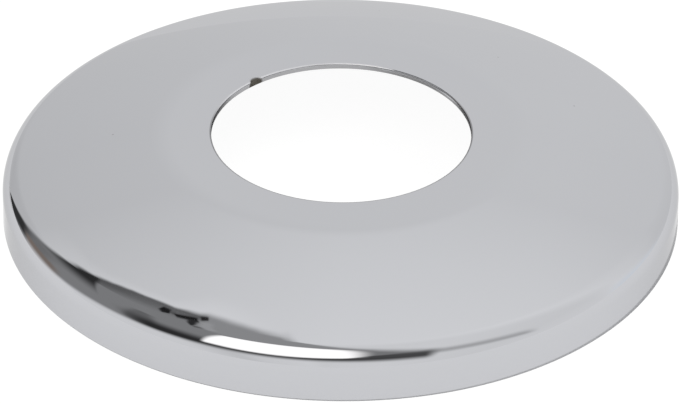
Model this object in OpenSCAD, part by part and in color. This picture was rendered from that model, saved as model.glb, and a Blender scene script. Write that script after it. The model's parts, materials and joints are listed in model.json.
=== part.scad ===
/* [Rosette] */
// Diameter over the skirt
outer_d = 60; // [54:0.5:75]
// Height from the wall to the top of the collar
height = 8.4; // [7:0.1:12]
// Thickness of the pressed sheet
sheet = 0.5; // [0.3:0.05:0.8]

/* [Collar] */
// Bore that the tap's threaded stem passes through
bore_d = 23; // [12:0.1:27]
// Diameter at which the flat collar begins to bend down
collar_d = 30; // [29:0.5:34]
// Outside radius of the soft bend round the collar
bend_r = 9; // [3:0.5:14]

/* [Dome] */
// Outside radius of the slightly crowned slope between collar and shoulder
crown_r = 90; // [60:5:400]
// Outside radius of the shoulder where the slope turns down into the skirt
shoulder_r = 2.3; // [1:0.1:3]
// Height of the straight skirt below the shoulder
skirt_h = 2.75; // [1.5:0.05:3.5]

/* [Cut edges] */
// Rounding that polishing left on the outer cut edges
edge_r = 0.12; // [0.05:0.01:0.2]

/* [Nick] */
// Direction of the nick in the bore's upper edge, from +X towards +Y
nick_angle = 132; // [0:1:359]
// Radius of the round hollow that the blow left
nick_r = 0.75; // [0.6:0.05:1]
// How far the hollow's centre lies in from the bore's wall
nick_inset = 0.35; // [0.2:0.05:0.45]
// How far the hollow's centre lies above the collar
nick_lift = 0.25; // [0.2:0.05:0.35]

/* [Hidden] */

// Straight stretches that each arc is made of
bend_steps = 8;
crown_steps = 10;
shoulder_steps = 14;
edge_steps = 3;

rim_r = outer_d / 2;
bore_r = bore_d / 2;

// The section's outer line is a chain of three arcs that touch: bend, crown, shoulder
bend_c = [collar_d / 2, height - bend_r];
shoulder_c = [rim_r - shoulder_r, skirt_h];

// The crown's centre is the third corner of a triangle on the other two centres
span = norm(shoulder_c - bend_c);
along = (shoulder_c - bend_c) / span;
below = [along[1], -along[0]];
side_bend = crown_r - bend_r;
side_shoulder = crown_r - shoulder_r;
foot_along = (span ^ 2 + side_bend ^ 2 - side_shoulder ^ 2) / (2 * span);
crown_c = bend_c + foot_along * along + sqrt(side_bend ^ 2 - foot_along ^ 2) * below;

// Directions in which one arc hands over to the next
bend_end = direction(bend_c - crown_c);
crown_end = direction(shoulder_c - crown_c);

function direction(v) = atan2(v[1], v[0]);

// Points along an arc, its last point left to whatever follows it
function arc(centre, r, from, to, steps) = [
  for (i = [0:steps - 1])
    let (a = from + (to - from) * i / steps)
      centre + r * [cos(a), sin(a)]
];

// The sheet's line from the collar's flat out to the top of the skirt, at a depth
// below the outer face
function sheet_line(depth) = concat(
  arc(bend_c, bend_r - depth, 90, bend_end, bend_steps),
  arc(crown_c, crown_r - depth, bend_end, crown_end, crown_steps),
  arc(shoulder_c, shoulder_r - depth, crown_end, 0, shoulder_steps),
  [[rim_r - depth, skirt_h]]
);

function reversed(points) = [for (i = [len(points) - 1:-1:0]) points[i]];

module section() {
  // Half of the rosette's cut face, on the right of its axis
  bore_edge = arc([bore_r + edge_r, height - edge_r], edge_r, 180, 90, edge_steps);
  foot_edge = arc([rim_r - edge_r, edge_r], edge_r, 0, -90, edge_steps);
  polygon(concat(
    [[bore_r, height - sheet]],
    bore_edge,
    [[bore_r + edge_r, height]],
    sheet_line(0),
    foot_edge,
    [[rim_r - edge_r, 0], [rim_r - sheet, 0]],
    reversed(sheet_line(sheet))
  ));
}

module nick() {
  // A round hollow that cuts the bore's upper edge
  rotate([0, 0, nick_angle])
    translate([bore_r - nick_inset, 0, height + nick_lift])
      sphere(r = nick_r);
}

module rosette() {
  color("silver") difference() {
    rotate_extrude($fn = 180) section();
    nick($fn = 32);
  }
}

rosette();
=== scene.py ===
import json
import math

import bpy
from mathutils import Matrix, Vector


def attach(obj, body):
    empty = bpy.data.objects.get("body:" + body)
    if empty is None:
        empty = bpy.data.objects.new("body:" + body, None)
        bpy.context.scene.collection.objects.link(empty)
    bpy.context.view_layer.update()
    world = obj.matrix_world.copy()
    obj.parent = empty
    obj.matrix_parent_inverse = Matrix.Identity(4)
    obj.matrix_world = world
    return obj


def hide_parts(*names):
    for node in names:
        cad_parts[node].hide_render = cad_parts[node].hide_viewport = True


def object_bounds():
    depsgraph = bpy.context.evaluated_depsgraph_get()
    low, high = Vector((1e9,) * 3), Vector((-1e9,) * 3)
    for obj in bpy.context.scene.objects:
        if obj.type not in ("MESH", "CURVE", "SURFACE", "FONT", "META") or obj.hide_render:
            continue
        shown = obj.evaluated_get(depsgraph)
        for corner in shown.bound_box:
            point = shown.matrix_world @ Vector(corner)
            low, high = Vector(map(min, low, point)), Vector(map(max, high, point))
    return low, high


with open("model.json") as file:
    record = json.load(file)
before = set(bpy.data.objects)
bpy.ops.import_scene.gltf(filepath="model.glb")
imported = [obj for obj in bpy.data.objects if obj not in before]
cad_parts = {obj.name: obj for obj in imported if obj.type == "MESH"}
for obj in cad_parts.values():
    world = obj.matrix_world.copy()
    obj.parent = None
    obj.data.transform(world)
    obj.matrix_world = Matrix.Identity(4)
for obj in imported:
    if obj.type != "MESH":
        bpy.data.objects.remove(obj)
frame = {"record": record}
cad_low, cad_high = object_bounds()

MM = 0.001
WHITE = (1.0, 1.0, 1.0, 1.0)

# The camera looks down on the rosette through a long lens. The picture's size and the
# origin's place in it are in pixels, the sensor and the lens in millimetres
PHOTO_W, PHOTO_H = 680, 404
ORIGIN_X, ORIGIN_Y = 340.481, 211.694
SENSOR_W = 36.0
LENS = 356.8
CAMERA_DOWN = math.radians(32.606)
CAMERA_ROLL = math.radians(0.555)
CAMERA_DEPTH = 0.6

# The rosette's section, as the press and the polishing wheel left it, and the nick that a
# blow left in the bore's upper edge
HEIGHT = cad_high.z - cad_low.z
BORE = next(m for m in frame["record"]["mounts"] if m["name"] == "bore")
BORE_D = 2 * BORE["dims"]["r_mm"] * MM
NICK_ANGLE = math.radians(132)
SHELL_SIZES = {
    "Outer Diameter": cad_high.x - cad_low.x,
    "Height": HEIGHT,
    "Sheet": 0.5 * MM,
    "Bore Diameter": BORE_D,
    "Collar Diameter": 30 * MM,
    "Bend Radius": 9 * MM,
    "Crown Radius": 90 * MM,
    "Shoulder Radius": 2.3 * MM,
    "Skirt Height": 2.75 * MM,
    "Edge Radius": 0.12 * MM,
    "Nick Angle": NICK_ANGLE,
    "Nick Radius": 0.75 * MM,
    "Nick Inset": 0.35 * MM,
    "Nick Lift": 0.25 * MM,
}

# A Mix node's sockets for colours
MIX_WHERE_0, MIX_WHERE_1, MIX_RESULT = 6, 7, 2


class Wire:
    """One output of a node. Arithmetic on it adds Math nodes, and node() adds any other."""

    def __init__(self, tree, output=None):
        self.tree = tree
        self.output = output

    def node(self, kind, settings=None, inputs=None, output=0):
        """Adds a node with its settings and its inputs, and goes on from one output of it."""
        made = self.tree.nodes.new(kind)
        for name, value in (settings or {}).items():
            if name == "stops":
                set_stops(made.color_ramp, value)
            else:
                setattr(made, name, value)
        for name, value in (inputs or {}).items():
            if isinstance(value, Wire):
                self.tree.links.new(value.output, made.inputs[name])
            else:
                made.inputs[name].default_value = value
        return Wire(self.tree, made.outputs[output] if made.outputs else None)

    def math(self, operation, *values):
        inputs = dict(enumerate(values))
        return self.node("ShaderNodeMath", {"operation": operation}, inputs)

    def __add__(self, other):
        return self.math("ADD", self, other)

    def __radd__(self, other):
        return self.math("ADD", other, self)

    def __sub__(self, other):
        return self.math("SUBTRACT", self, other)

    def __rsub__(self, other):
        return self.math("SUBTRACT", other, self)

    def __mul__(self, other):
        return self.math("MULTIPLY", self, other)

    def __rmul__(self, other):
        return self.math("MULTIPLY", other, self)

    def __truediv__(self, other):
        return self.math("DIVIDE", self, other)

    def __rtruediv__(self, other):
        return self.math("DIVIDE", other, self)

    def __neg__(self):
        return self.math("MULTIPLY", self, -1.0)

    def ramp(self, low, high):
        """0 where the value is at low, 1 where it is at high, with soft ends."""
        inputs = {"Value": self, "From Min": low, "From Max": high}
        return self.node("ShaderNodeMapRange", {"interpolation_type": "SMOOTHSTEP"}, inputs)

    def mix(self, where_0, where_1):
        """A colour: the first where this mask is 0, the second where it is 1."""
        inputs = {0: self, MIX_WHERE_0: where_0, MIX_WHERE_1: where_1}
        return self.node("ShaderNodeMix", {"data_type": "RGBA"}, inputs, MIX_RESULT)

    def parts(self):
        """The three numbers of a vector or a colour."""
        split = self.node("ShaderNodeSeparateXYZ", None, {0: self}).output.node
        return [Wire(self.tree, socket) for socket in split.outputs]

    def vector(self, operation, *vectors):
        inputs = dict(enumerate(vectors))
        return self.node("ShaderNodeVectorMath", {"operation": operation}, inputs)

    def scaled(self, factor):
        inputs = {0: self, "Scale": factor}
        return self.node("ShaderNodeVectorMath", {"operation": "SCALE"}, inputs)

    def length(self):
        return self.node("ShaderNodeVectorMath", {"operation": "LENGTH"}, {0: self}, "Value")


def set_stops(ramp, stops):
    """Gives a colour ramp its stops, each a place and up to three values."""
    while len(ramp.elements) < len(stops):
        ramp.elements.new(1.0)
    for element, (place, values) in zip(ramp.elements, stops):
        element.position = place
        element.color = (*values, 0.0, 0.0)[:3] + (1.0,)


def square_root(value):
    return value.math("SQRT", value)


def tone(level, tint=(1.0, 1.0, 1.0)):
    """A colour of this level, grey where it has no tint."""
    return (level * tint[0], level * tint[1], level * tint[2], 1.0)


# Camera


def photo_camera():
    """The camera at the photograph's angle, framed so that the rosette fills the picture."""
    data = bpy.data.cameras.new("photo camera")
    data.sensor_fit = "HORIZONTAL"
    data.sensor_width = SENSOR_W
    data.lens = LENS
    camera = bpy.data.objects.new("photo camera", data)
    bpy.context.scene.collection.objects.link(camera)
    bpy.context.scene.camera = camera

    forward = Vector((0, math.cos(CAMERA_DOWN), -math.sin(CAMERA_DOWN)))
    below = Vector((0, -math.sin(CAMERA_DOWN), -math.cos(CAMERA_DOWN)))
    level = Vector((1, 0, 0))
    right = math.cos(CAMERA_ROLL) * level - math.sin(CAMERA_ROLL) * below
    below = math.sin(CAMERA_ROLL) * level + math.cos(CAMERA_ROLL) * below

    pixels = PHOTO_W * LENS / SENSOR_W
    origin_right = CAMERA_DEPTH * (ORIGIN_X - PHOTO_W / 2) / pixels
    origin_below = CAMERA_DEPTH * (ORIGIN_Y - PHOTO_H / 2) / pixels
    place = -(origin_right * right + origin_below * below + CAMERA_DEPTH * forward)
    turn = Matrix((right, -below, -forward)).transposed().to_4x4()
    camera.matrix_world = Matrix.Translation(place) @ turn


# Shell

# Points round the turn, and how much closer together they lie at the nick
STEPS_ROUND = 400
CROWDING = 0.8

# Steps that the section's stretches are made of, finer where the surface bends and in the
# band round the bore that the nick reaches
EDGE_STEPS = 5
FINE_BAND = 0.6 * MM
FINE_STEPS = 14
COLLAR_STEPS = 3
SKIRT_STEPS = 3
FOOT_STEPS = 2
WALL_STEPS = 9
OUTSIDE_STEPS = {"bend": 14, "crown": 28, "shoulder": 44}
INSIDE_STEPS = {"bend": 6, "crown": 8, "shoulder": 14}

# Points closer than this become one, and edges that bend more than this stay crisp
WELD = 0.0005 * MM
SHARP = math.radians(40)


class Section:
    """Draws the stretches of the section's line, measured outwards from the bore's wall."""

    def __init__(self, pen, bore):
        self.pen = pen
        self.bore = bore
        self.stretches = []

    def point(self, place):
        return self.pen.node("ShaderNodeCombineXYZ", None, {0: place[0] - self.bore, 1: place[1]})

    def arc(self, centre, radius, start, end, steps):
        """Part of a circle, from one direction to another."""
        sizes = {
            "Resolution": steps + 1,
            "Radius": radius,
            "Start Angle": start,
            "Sweep Angle": end - start,
        }
        curve = self.pen.node("GeometryNodeCurveArc", {"mode": "RADIUS"}, sizes)
        place = {"Geometry": curve, "Translation": self.point(centre)}
        self.stretches.append(self.pen.node("GeometryNodeTransform", None, place))

    def line(self, start, end, steps):
        """A straight stretch."""
        ends = {0: self.point(start), 1: self.point(end)}
        curve = self.pen.node("GeometryNodeCurvePrimitiveLine", {"mode": "POINTS"}, ends)
        count = {"Curve": curve, "Count": steps + 1}
        self.stretches.append(self.pen.node("GeometryNodeResampleCurve", None, count))

    def whole(self):
        """All stretches as one geometry."""
        join = self.pen.tree.nodes.new("GeometryNodeJoinGeometry")
        for stretch in self.stretches:
            self.pen.tree.links.new(stretch.output, join.inputs[0])
        return Wire(self.pen.tree, join.outputs[0])


def minus(a, b):
    return (a[0] - b[0], a[1] - b[1])


def direction(v):
    return v[1].math("ARCTAN2", v[1], v[0])


def draw_section(pen, size):
    """The whole closed section: out over the face, down the skirt and back underneath."""
    rim = size["Outer Diameter"] / 2
    bore = size["Bore Diameter"] / 2
    height = size["Height"]
    sheet = size["Sheet"]
    edge = size["Edge Radius"]
    skirt = size["Skirt Height"]
    bend_r = size["Bend Radius"]
    crown_r = size["Crown Radius"]
    shoulder_r = size["Shoulder Radius"]
    up = math.pi / 2

    # The crown's centre is the third corner of a triangle on the bend's and the shoulder's
    bend_c = (size["Collar Diameter"] / 2, height - bend_r)
    shoulder_c = (rim - shoulder_r, skirt)
    gap = minus(shoulder_c, bend_c)
    span = square_root(gap[0] * gap[0] + gap[1] * gap[1])
    along = (gap[0] / span, gap[1] / span)
    side_bend = crown_r - bend_r
    side_shoulder = crown_r - shoulder_r
    foot = (span * span + side_bend * side_bend - side_shoulder * side_shoulder) / (2 * span)
    sink = square_root(side_bend * side_bend - foot * foot)
    crown_x = bend_c[0] + foot * along[0] + sink * along[1]
    crown_y = bend_c[1] + foot * along[1] - sink * along[0]
    crown_c = (crown_x, crown_y)
    bend_end = direction(minus(bend_c, crown_c))
    crown_end = direction(minus(shoulder_c, crown_c))

    section = Section(pen, bore)

    # Over the outer face
    section.arc((bore + edge, height - edge), edge, math.pi, up, EDGE_STEPS)
    section.line((bore + edge, height), (bore + FINE_BAND, height), FINE_STEPS)
    section.line((bore + FINE_BAND, height), (bend_c[0], height), COLLAR_STEPS)
    section.arc(bend_c, bend_r, up, bend_end, OUTSIDE_STEPS["bend"])
    section.arc(crown_c, crown_r, bend_end, crown_end, OUTSIDE_STEPS["crown"])
    section.arc(shoulder_c, shoulder_r, crown_end, 0.0, OUTSIDE_STEPS["shoulder"])
    section.line((rim, skirt), (rim, 2 * edge), SKIRT_STEPS)
    section.line((rim, 2 * edge), (rim, edge), FOOT_STEPS)
    section.arc((rim - edge, edge), edge, 0.0, -up, EDGE_STEPS)

    # Back along the inner face
    inner = rim - sheet
    section.line((rim - edge, 0.0), (inner, 0.0), 1)
    section.line((inner, 0.0), (inner, skirt), 1)
    section.arc(shoulder_c, shoulder_r - sheet, 0.0, crown_end, INSIDE_STEPS["shoulder"])
    section.arc(crown_c, crown_r - sheet, crown_end, bend_end, INSIDE_STEPS["crown"])
    section.arc(bend_c, bend_r - sheet, bend_end, up, INSIDE_STEPS["bend"])
    section.line((bend_c[0], height - sheet), (bore + FINE_BAND, height - sheet), COLLAR_STEPS)
    section.line((bore + FINE_BAND, height - sheet), (bore, height - sheet), FINE_STEPS)
    section.line((bore, height - sheet), (bore, height - edge), WALL_STEPS)
    return section.whole()


def crowded_ring(pen, radius, steps, angle):
    """A circle whose points crowd together at an angle, where the nick needs them."""
    ring = pen.node("GeometryNodeCurvePrimitiveCircle", {"mode": "RADIUS"}, {"Resolution": steps})
    turn = pen.node("GeometryNodeInputIndex") * (2 * math.pi) / steps
    bent = angle + turn - CROWDING * turn.math("SINE", turn)
    x = radius * bent.math("COSINE", bent)
    y = radius * bent.math("SINE", bent)
    place = pen.node("ShaderNodeCombineXYZ", None, {0: x, 1: y})
    return pen.node("GeometryNodeSetPosition", None, {"Geometry": ring, "Position": place})


def dented(pen, shell, size):
    """Pushes the points that lie inside the nick's round hollow out to its surface."""
    radius = size["Nick Radius"]
    reach = size["Bore Diameter"] / 2 - size["Nick Inset"]
    angle = size["Nick Angle"]
    x = reach * angle.math("COSINE", angle)
    y = reach * angle.math("SINE", angle)
    z = size["Height"] + size["Nick Lift"]
    centre = pen.node("ShaderNodeCombineXYZ", None, {0: x, 1: y, 2: z})
    place = pen.node("GeometryNodeInputPosition")
    spoke = place.vector("SUBTRACT", place, centre)
    far = spoke.length()
    pushed = centre.vector("ADD", centre, spoke.scaled(radius / far))
    inside = far.math("LESS_THAN", far, radius)
    inputs = {"Geometry": shell, "Selection": inside, "Position": pushed}
    return pen.node("GeometryNodeSetPosition", None, inputs)


def shell_tree(finish):
    """Node tree that turns the section round the axis and dents the result."""
    tree = bpy.data.node_groups.new("turned shell", "GeometryNodeTree")
    tree.interface.new_socket(name="Shell", in_out="OUTPUT", socket_type="NodeSocketGeometry")
    for name in SHELL_SIZES:
        tree.interface.new_socket(name=name, in_out="INPUT", socket_type="NodeSocketFloat")
    tree.interface.new_socket(name="Steps Round", in_out="INPUT", socket_type="NodeSocketInt")
    group_input = tree.nodes.new("NodeGroupInput")
    size = {socket.name: Wire(tree, socket) for socket in group_input.outputs if socket.name}
    pen = Wire(tree)

    # A profile hangs downwards from a ring, so the shell is turned over afterwards, and its
    # ring is drawn with the nick's angle the other way round
    bore = size["Bore Diameter"] / 2
    ring = crowded_ring(pen, bore, size["Steps Round"], -size["Nick Angle"])
    strips = {"Curve": ring, "Profile Curve": draw_section(pen, size)}
    shell = pen.node("GeometryNodeCurveToMesh", None, strips)
    upright = {"Geometry": shell, "Rotation": (math.pi, 0.0, 0.0)}
    shell = pen.node("GeometryNodeTransform", None, upright)
    shell = pen.node("GeometryNodeMergeByDistance", None, {"Geometry": shell, "Distance": WELD})

    # The section is drawn clockwise, so its faces point inwards until they are flipped
    shell = pen.node("GeometryNodeFlipFaces", None, {"Mesh": shell})
    shell = dented(pen, shell, size)

    bend = pen.node("GeometryNodeInputMeshEdgeAngle")
    sharp = bend.math("GREATER_THAN", bend, SHARP)
    crisp = {"Geometry": shell, "Selection": sharp, "Shade Smooth": False}
    shell = pen.node("GeometryNodeSetShadeSmooth", {"domain": "EDGE"}, crisp)
    shell = pen.node("GeometryNodeRealizeInstances", None, {"Geometry": shell})
    shell = pen.node("GeometryNodeSetMaterial", None, {"Geometry": shell, "Material": finish})
    pen.node("NodeGroupOutput", None, {0: shell})
    return tree


def turned_shell(finish):
    """The whole rosette as one closed mesh."""
    tree = shell_tree(finish)
    blank = bpy.data.objects.new("blank", bpy.data.meshes.new("blank"))
    bpy.context.scene.collection.objects.link(blank)
    maker = blank.modifiers.new("turned shell", "NODES")
    maker.node_group = tree
    values = {**SHELL_SIZES, "Steps Round": STEPS_ROUND}
    for item in tree.interface.items_tree:
        if item.in_out == "INPUT":
            maker[item.identifier] = values[item.name]
    shown = blank.evaluated_get(bpy.context.evaluated_depsgraph_get())
    mesh = bpy.data.meshes.new_from_object(shown)
    mesh.name = "chromed_shell"
    bpy.data.objects.remove(blank)
    shell = bpy.data.objects.new("chromed_shell", mesh)
    bpy.context.scene.collection.objects.link(shell)
    return shell


# Chrome

CHROME = (0.55, 0.556, 0.58, 1.0)
THIN_CHROME = (0.4, 0.405, 0.42, 1.0)
# The lip's painted dark line, a painted reflection, and its painted highlight at the back left
PAINTED_EDGE_LINE = (0.3, 0.3, 0.31, 1.0)
PAINTED_LIP_HIGHLIGHT = (0.66, 0.66, 0.68, 1.0)
TORN_EDGE = (0.38, 0.38, 0.39, 1.0)
DARK_SPOT = (0.1, 0.09, 0.075, 1.0)
EDGE_TINT = (0.745, 0.745, 0.745, 1.0)

# Roughness of the bright plate, and what the cloudy plate, the torn wall, the painted highlight
# on the lip and the dark spots add to it
POLISHED = 0.02
CLOUDY = 0.16
TORN = 0.2
LIP_HIGHLIGHT_DULL = 0.3
SPOT_DULL = 0.5

# Cloudy patches of the thin plate underneath, and the faint ripple of the whole plate
CLOUDS = {"Scale": 140.0, "Detail": 3.0}
CLOUD_EDGE = (0.35, 0.7)
RIPPLE = {"Scale": 260.0, "Detail": 2.0}
RIPPLE_BUMP = {"Strength": 0.01, "Distance": 0.2 * MM}

# Where each kind of plate, the wear, and the painted line and highlight on the lip fade, from
# none
# to all of them: by the way the surface faces, out from the axis, to the right of it, behind it,
# and up from the wall
FACING_UNDER = (0.2, -0.2)
UNDERSIDE = (BORE_D / 2 + 0.2 * MM, BORE_D / 2 + 1 * MM)
LIP = (BORE_D / 2 + 0.18 * MM, BORE_D / 2 + 0.12 * MM)
WALL = (BORE_D / 2 + 0.02 * MM, BORE_D / 2)
LEFT = (4 * MM, 3 * MM)
BACK = (1 * MM, 7 * MM)
FRONT = (7 * MM, 1 * MM)
TORN_BELOW = (HEIGHT - 0.24 * MM, HEIGHT - 0.3 * MM)
TORN_HIGHER = 0.12 * MM

# The dark spot in the nick is a ball, in from the bore's wall and below the collar. Its
# soft edge is a share of its radius, and the dark spots hide this much of the metal
NICK_SPOT_INSET = 0.2 * MM
NICK_SPOT_DEPTH = 0.45 * MM
NICK_SPOT_R = 0.74 * MM
NICK_SPOT_SOFT = 0.18
SPOT_COVER = 0.9

# Where specks of dust lie on the face: right of the axis, behind it and their radius
SPECKS = [(14.1, 14.5, 0.08), (20.8, 7.0, 0.08), (-20.2, 0.7, 0.07), (3.4, 24.6, 0.06)]
SPECK_SOFT = 0.4
SPECK_COVER = 0.4


def new_material(name):
    """An empty material, with a pen for its nodes."""
    material = bpy.data.materials.new(name)
    material.use_nodes = True
    material.node_tree.nodes.clear()
    return material, Wire(material.node_tree)


def spot(place, centre, radius, edge):
    """1 inside a ball and 0 outside it, over an edge of the given share of its radius."""
    away = place.vector("SUBTRACT", place, centre).length()
    return away.ramp(radius * (1 + edge), radius * (1 - edge))


def chrome_plate():
    """Bright plate outside, duller plate underneath, a torn cut edge with a painted dark line and
    a painted highlight on its lip, and a dark spot in the nick.
    """
    material, pen = new_material("chrome plate")
    place = pen.node("ShaderNodeTexCoord", output="Object")
    x, y, z = place.parts()
    radius = square_root(x * x + y * y)
    facing_x, facing_y, facing_z = pen.node("ShaderNodeTexCoord", output="Normal").parts()
    outward = (facing_x * x + facing_y * y) / radius

    # Underneath, the plate is thin and cloudy
    clouds = pen.node("ShaderNodeTexNoise", None, {"Vector": place, **CLOUDS})
    under = (outward + facing_z).ramp(*FACING_UNDER) * radius.ramp(*UNDERSIDE)
    thin = clouds.ramp(*CLOUD_EDGE).mix(THIN_CHROME, CHROME)
    colour = under.mix(CHROME, thin)
    dull = under * CLOUDY + POLISHED

    # The punch tore the lower part of the bore's wall, a little higher up at the back left.
    # Above that the lip is painted darker in front and at the sides, a painted reflection of a
    # dark line along its edge, and at the back left it is painted pale as a painted highlight and
    # made duller
    lip = radius.ramp(*LIP)
    wall = radius.ramp(*WALL)
    back_left = x.ramp(*LEFT) * y.ramp(*BACK)
    torn = wall * (z - back_left * TORN_HIGHER).ramp(*TORN_BELOW)
    colour = torn.mix(colour, TORN_EDGE)
    painted_edge_line = lip * (1.0 - torn) * y.ramp(*FRONT)
    colour = painted_edge_line.mix(colour, PAINTED_EDGE_LINE)
    lip_highlight = lip * (1.0 - wall) * back_left
    colour = lip_highlight.mix(colour, PAINTED_LIP_HIGHLIGHT)
    dull = dull + torn * TORN + lip_highlight * LIP_HIGHLIGHT_DULL

    # The nick is darker and duller, and a few specks of dust lie on the face
    reach = BORE_D / 2 - NICK_SPOT_INSET
    nick = (reach * math.cos(NICK_ANGLE), reach * math.sin(NICK_ANGLE), HEIGHT - NICK_SPOT_DEPTH)
    dark_spots = spot(place, nick, NICK_SPOT_R, NICK_SPOT_SOFT)
    over = place.vector("MULTIPLY", place, (1.0, 1.0, 0.0))
    for right, behind, size in SPECKS:
        centre = (right * MM, behind * MM, 0.0)
        dark_spots = dark_spots + spot(over, centre, size * MM, SPECK_SOFT) * SPECK_COVER
    dark_spots = dark_spots * (1.0 - under)
    colour = dark_spots.mix(colour, DARK_SPOT)
    dull = dull + dark_spots * SPOT_DULL

    ripple = pen.node("ShaderNodeTexNoise", None, {"Vector": place, **RIPPLE})
    bump = pen.node("ShaderNodeBump", None, {**RIPPLE_BUMP, "Height": ripple})
    finish = {
        "Base Color": colour,
        "Specular Tint": EDGE_TINT,
        "Metallic": 1.0 - dark_spots * SPOT_COVER,
        "Roughness": dull,
        "Normal": bump,
    }
    surface = pen.node("ShaderNodeBsdfPrincipled", None, finish)
    pen.node("ShaderNodeOutputMaterial", None, {"Surface": surface})
    return material


# Studio

# The floor lies just below the foot. Its paint also glows, with one share of the glow for
# the picture and one for the chrome
FLOOR_SIZE = 12.0
FLOOR_DROP = 0.02 * MM
FLOOR_PAINT = 0.95
FLOOR_GLOW = 1.12
SHARE_SEEN = 0.85
SHARE_MIRRORED = 0.8

# The round shade under the rosette that the foot of the skirt mirrors
FOOT_SHADE = (0.22 * MM, -0.15 * MM, 0.0)
FOOT_SHADE_R = 30 * MM
FOOT_SHADE_SOFT = 0.15 * MM

# The sky that the chrome mirrors is written down in degrees as seen from the rosette:
# across is how far right of overhead a place lies, away how far behind it
DEGREES = 180 / math.pi
NOT_ZERO = 1e-8

# Numbers that are read off a colour ramp are kept in it as colours, where 0 stands for
# minus this and 1 for plus this
READ_REACH = 100

# Level of the pale tent's cloth along each of the two directions
CLOTH_AWAY = [
    (-95, 1.03), (-30, 1.02), (0, 1.01), (15, 1.09), (30, 1.02),
    (45, 0.93), (60, 0.945), (75, 0.985), (90, 1.04),
]
CLOTH_ACROSS = [
    (-95, 1.0), (-60, 1.0), (-40, 0.86), (-20, 0.925), (0, 1.0),
    (20, 1.02), (40, 0.985), (60, 0.965), (95, 1.02),
]

# The cloth is brighter along the hem of its opening: by how much, over how many times the
# hem's softness, and where that strip fades at its right and left ends
HEM_LIGHT = 0.08
HEM_WIDTH = 6
HEM_RIGHT_END = (-5, -13)
HEM_LEFT_END = (-44, -30)

# Upper edge of the tent's opening: across, away and softness. One colour ramp hasn't room
# for all its points, so it comes in three stretches
HEM_LINE = [
    [
        (-90, 120, 8), (-66, 110, 5), (-61, 88, 5), (-56.5, 55, 5), (-52, 44.5, 5),
        (-49, 42.2, 5), (-45, 39.6, 4.5), (-42, 37.6, 4), (-38.5, 36.3, 3.5), (-35, 36, 3.2),
    ],
    [
        (-35, 36, 3.2), (-30.5, 36.5, 2.8), (-28, 36.7, 2.2), (-26.4, 36.5, 1.6),
        (-25.4, 35.8, 1.1), (-24.7, 34.7, 0.8), (-24, 33.6, 0.5), (-22.3, 31.3, 0.3),
        (-19, 27.4, 0.25), (-16.5, 24.8, 0.25), (-14, 23, 0.5), (-13, 22.6, 0.6),
        (-11, 21.1, 0.7), (-8, 19.2, 0.7), (-6, 18.1, 1), (-5.2, 17.4, 2),
    ],
    [
        (-5.2, 17.4, 2), (-4.5, 15.8, 3), (-3.8, 12, 4), (-3, 8, 5), (-2, 4, 5.5), (0, -2, 6),
        (3, -8, 7), (9, -18, 10), (15, -25, 10), (21, -30, 9), (27, -32, 9), (60, -45, 9),
    ],
]

# Floor that the chrome mirrors, in millimetres: where light falls through the bore, how
# bright it is, and where the room's shade begins at the far left
THROUGH_BORE = [(-4, -6, 1.5), (-4, 12.5, 1.5), (9, 12.5, 1.5), (9, -6, 1.5)]
BORE_LIGHT = 1.25
FAR_SHADE = [(-77, 41, 10), (-69, 48, 8), (-390, 470, 60), (-470, 400, 8)]

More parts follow.
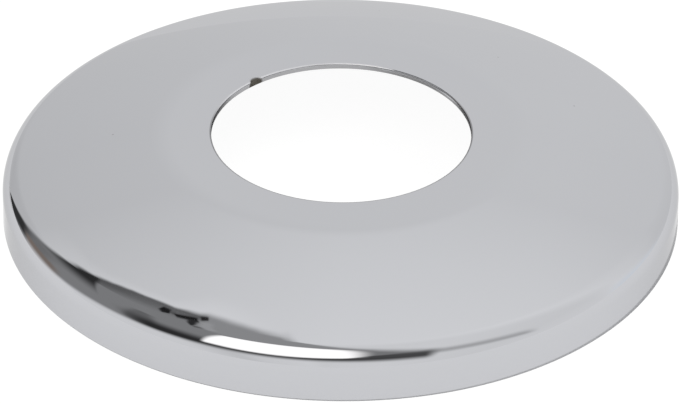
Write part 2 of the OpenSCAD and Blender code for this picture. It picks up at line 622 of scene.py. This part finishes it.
# Panels, each with its colour and its corners: across, away and the softness of the edge
# that starts there
BROWN = (1.22, 1.0, 0.87)
WARM = (1.03, 1.01, 0.98)
COOL = (0.96, 1.0, 1.04)
ROOM = tone(0.33)
OPENING = [
    (-62, 98, 8), (-84, 14, 9), (-76, -10, 9), (-60, -36, 9),
    (-35, -57, 9), (0, -66, 11), (34, -60, 3), (-13.4, 98, 5),
]
ON_THE_CLOTH = {
    "far fold": (
        tone(0.6),
        [(22, -34, 5), (30, -48, 8), (62, -38, 5), (70, -34, 4), (58, -26, 8)],
    ),
    "left shade": (
        tone(0.76),
        [(-34, 42, 10), (-34, 74, 8), (-68, 74, 6), (-68, 42, 6)],
    ),
    "cool right": (
        tone(1.05, COOL),
        [(76, 10, 8), (110, 10, 8), (110, 70, 8), (76, 70, 8)],
    ),
}
IN_THE_ROOM = {
    "far glow": (
        tone(0.42),
        [(-13.6, 25, 0.5), (-8, 26, 1), (6, 20, 3), (8, -12, 4), (-18, -1, 3), (-18.5, 8, 1)],
    ),
    "edge glow": (
        tone(0.5),
        [(-14, 21.7, 0.3), (-12.8, 21.2, 0.5), (-15, 13, 1), (-18, 8, 1), (-18.5, 10, 0.5)],
    ),
    "hem shade": (
        tone(0.14),
        [
            (-23.5, 37, 0.5), (-12.9, 24.5, 0.3), (-13.3, 22, 0.4),
            (-15, 22.3, 1.5), (-24.5, 31.5, 1),
        ],
    ),
    "wedge": (
        tone(0.04),
        [(-23.5, 46, 0.3), (-23.5, 32.2, 0.6), (-41, 16, 14), (-41, 46, 3)],
    ),
    "left knob": (
        tone(0.02),
        [
            (-18.2, 25.1, 0.15), (-17.6, 25.3, 0.15), (-16.8, 24.5, 0.15),
            (-17.2, 23.8, 0.2), (-18.1, 24.2, 0.25),
        ],
    ),
    "left bar": (
        tone(0.14),
        [(-17, 24.5, 0.2), (-16.4, 24, 0.1), (-16.5, 23.3, 0.3), (-17, 23.8, 0.1)],
    ),
    "bar": (
        tone(0.02),
        [(-16.6, 23.9, 0.15), (-14.3, 22.5, 0.15), (-14.3, 21.5, 0.4), (-16.6, 22.9, 0.15)],
    ),
    "post": (
        tone(0.04),
        [(-15.3, 22.5, 0.1), (-14.3, 22, 0.3), (-18.4, 13.5, 0.8), (-20.1, 11, 0.3)],
    ),
    "post foot": (
        tone(0.18),
        [(-18.4, 14, 0.3), (-16.7, 14.6, 1), (-18.8, 9, 1.5), (-21, 8, 0.3)],
    ),
    "knob": (
        tone(0.03),
        [(-14, 22.7, 0.1), (-13.2, 22.4, 0.1), (-13.2, 21.8, 0.15), (-14, 22, 0.15)],
    ),
    "ridge": (
        tone(0.2),
        [(-34, 9, 2), (-32, 5, 2), (-46, -16, 3), (-62, -26, 3), (-62, -14, 3), (-50, -4, 2)],
    ),
    "low corner": (
        tone(0.04),
        [(-48, -5, 12), (-31, -30, 2), (-39, -50, 8), (-66, -42, 8), (-64, -21, 8)],
    ),
    "left dusk": (
        tone(0.25),
        [(-48, 26, 6), (-48, 70, 6), (-96, 70, 6), (-96, 26, 6)],
    ),
    "upright": (
        tone(0.05),
        [(-55, 42, 3), (-57, 98, 4), (-74, 98, 4), (-80, 43, 5)],
    ),
    "warm wall": (
        tone(0.24, BROWN),
        [(-63, 44, 4), (-67, 20, 5), (-98, 14, 5), (-98, 46, 5), (-80, 45, 3)],
    ),
    "right wall": (
        tone(0.3),
        [(5, 0, 3), (30, -10, 1), (36, -30, 3), (38, -70, 4), (5, -70, 2)],
    ),
    "right corner": (
        tone(0.1),
        [(16, -36, 8), (38, -38, 2), (38, -70, 3), (8, -70, 2), (8, -42, 3)],
    ),
    "foot line": (
        tone(0.08),
        [(-46, -41, 3), (40, -54, 4), (40, -80, 4), (-45, -80, 4)],
    ),
    "lamp": (
        tone(1.8, WARM),
        [
            (-19, -0.5, 1.5), (-12, -4, 2.5), (1, -13, 4), (4.5, -20, 4.5), (6.5, -45, 2),
            (3, -50, 3), (-12, -52, 4), (-29, -47, 4), (-41, -36, 1.2),
        ],
    ),
}


def read_off(place, points):
    """The values that straight lines through the points have at a place."""
    first, last = points[0][0], points[-1][0]
    stops = []
    for point in points:
        values = [(value + READ_REACH) / (2 * READ_REACH) for value in point[1:]]
        stops.append(((point[0] - first) / (last - first), values))
    share = (place - first) / (last - first)
    colour = place.node("ShaderNodeValToRGB", {"stops": stops}, {"Fac": share})
    return [part * (2 * READ_REACH) - READ_REACH for part in colour.parts()]


def soft_panel(plane, corners):
    """A mask that is 1 between the corners and fades across each edge."""
    following = corners[1:] + corners[:1]
    area = sum(a[0] * b[1] - b[0] * a[1] for a, b in zip(corners, following))
    mask = 1.0
    for a, b in zip(corners, following):
        run = math.copysign(math.dist(a[:2], b[:2]), area)
        outward = ((b[1] - a[1]) / run, (a[0] - b[0]) / run)
        edge = {0: plane, 1: (*outward, -a[0] * outward[0] - a[1] * outward[1])}
        beyond = plane.node("ShaderNodeVectorMath", {"operation": "DOT_PRODUCT"}, edge, "Value")
        mask = beyond.ramp(a[2], -a[2]) * mask
    return mask


def with_panels(sky, colour, panels):
    """A colour of the sky with the panels laid over it in turn."""
    for panel, corners in panels.values():
        colour = soft_panel(sky, corners).mix(colour, panel)
    return colour


def studio_light():
    """A pale tent all round, open towards a dark room with a lamp, for the chrome to show."""
    world = bpy.data.worlds.new("studio")
    bpy.context.scene.world = world
    world.use_nodes = True
    world.node_tree.nodes.clear()
    pen = Wire(world.node_tree)
    x, y, z = pen.node("ShaderNodeTexCoord", output="Generated").parts()
    tilt = z.math("ARCCOSINE", z) * DEGREES
    stretch = tilt / square_root(x * x + y * y + NOT_ZERO)
    across = x * stretch
    away = y * stretch
    sky = pen.node("ShaderNodeCombineXYZ", None, {0: across, 1: away, 2: 1.0})

    # Each stretch of the hem goes on from where the one before it ends
    hem, soft = 0.0, 0.0
    start = (0, 0, 0)
    for points in HEM_LINE:
        edge = read_off(across, points)
        hem = edge[0] - start[1] + hem
        soft = edge[1] - start[2] + soft
        start = points[-1]

    strip = (away - hem).ramp(soft * HEM_WIDTH, 0.0)
    strip = strip * across.ramp(*HEM_RIGHT_END) * across.ramp(*HEM_LEFT_END)
    brighter = strip * HEM_LIGHT + 1.0
    cloth = read_off(away, CLOTH_AWAY)[0] * read_off(across, CLOTH_ACROSS)[0] * brighter
    cloth = with_panels(sky, cloth, ON_THE_CLOTH)
    room = with_panels(sky, ROOM, IN_THE_ROOM)
    opening = soft_panel(sky, OPENING) * (away - hem).ramp(soft, -soft)
    colour = opening.mix(cloth, room)

    seen = pen.node("ShaderNodeLightPath", output="Is Camera Ray")
    light = pen.node("ShaderNodeBackground", None, {"Color": seen.mix(colour, WHITE)})
    pen.node("ShaderNodeOutputWorld", None, {"Surface": light})


def studio_floor():
    """A pale floor that stays white in the picture and in the chrome, but keeps a shadow."""
    material, pen = new_material("pale floor")
    paint = pen.node("ShaderNodeBsdfDiffuse", None, {"Color": tone(FLOOR_PAINT)})
    glow = pen.node("ShaderNodeEmission", None, {"Color": WHITE, "Strength": FLOOR_GLOW})
    seen = pen.node("ShaderNodeLightPath", output="Is Camera Ray")
    mirrored = pen.node("ShaderNodeLightPath", output="Is Glossy Ray")
    place = pen.node("ShaderNodeTexCoord", output="Object")
    far = place.vector("SUBTRACT", place, FOOT_SHADE).length()
    x, y = place.scaled(1 / MM).parts()[:2]
    plane = pen.node("ShaderNodeCombineXYZ", None, {0: x, 1: y, 2: 1.0})
    lit = far.ramp(FOOT_SHADE_R, FOOT_SHADE_R + FOOT_SHADE_SOFT)
    lit = lit + soft_panel(plane, THROUGH_BORE) * BORE_LIGHT
    lit = lit * (1.0 - soft_panel(plane, FAR_SHADE))
    share = seen * SHARE_SEEN + mirrored * lit * SHARE_MIRRORED
    both = pen.node("ShaderNodeMixShader", None, {0: share, 1: paint, 2: glow})
    pen.node("ShaderNodeOutputMaterial", None, {"Surface": both})

    half = FLOOR_SIZE / 2
    corners = [(-half, -half), (half, -half), (half, half), (-half, half)]
    mesh = bpy.data.meshes.new("floor")
    mesh.from_pydata([(x, y, cad_low.z - FLOOR_DROP) for x, y in corners], [], [(0, 1, 2, 3)])
    mesh.materials.append(material)
    floor = bpy.data.objects.new("floor", mesh)
    bpy.context.scene.collection.objects.link(floor)


photo_camera()
studio_light()
studio_floor()

shell = turned_shell(chrome_plate())
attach(shell, "root")
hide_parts("rosette")

bpy.context.scene.view_settings.view_transform = "Standard"
